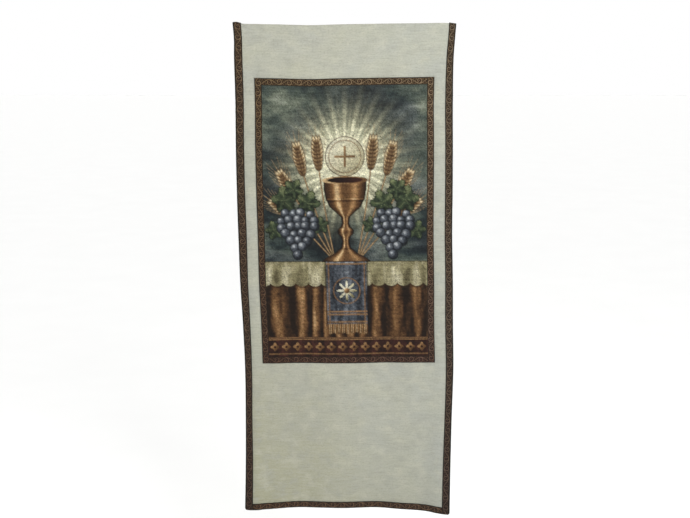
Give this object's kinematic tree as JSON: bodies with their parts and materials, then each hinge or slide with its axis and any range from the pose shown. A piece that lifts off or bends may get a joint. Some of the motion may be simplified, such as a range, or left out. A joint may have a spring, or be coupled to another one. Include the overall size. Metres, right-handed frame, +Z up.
{
  "type": "religious tapestry",
  "caption": "Long narrow church hanging: cream ribbed cloth with its top turned to the back, a framed woven picture panel, and brown scroll braid on the sides and lower edge.",
  "frame": {"origin": "inside of the fold at the middle of the top edge, where the cloth bears on what carries it", "axes": "+Z up, +X to the right of a viewer facing the picture, and the picture faces -Y"},
  "size_m": [0.5112, 0.0409, 1.1618],
  "materials": {
    "ground_cloth": "cream cotton, woven with a fine crosswise rib, matt",
    "picture_weave": "many-coloured figured weave in dark green grey, slate, golden brown and cream, with a brown scroll frame, matt",
    "scroll_braid": "brown woven braid with a paler running scroll and dark edges, low sheen"
  },
  "bodies": {
    "root": {"ground_cloth": "ground_cloth", "picture_panel": "picture_weave", "border_left": "scroll_braid", "border_right": "scroll_braid", "border_bottom": "scroll_braid"}
  },
  "joints": []
}
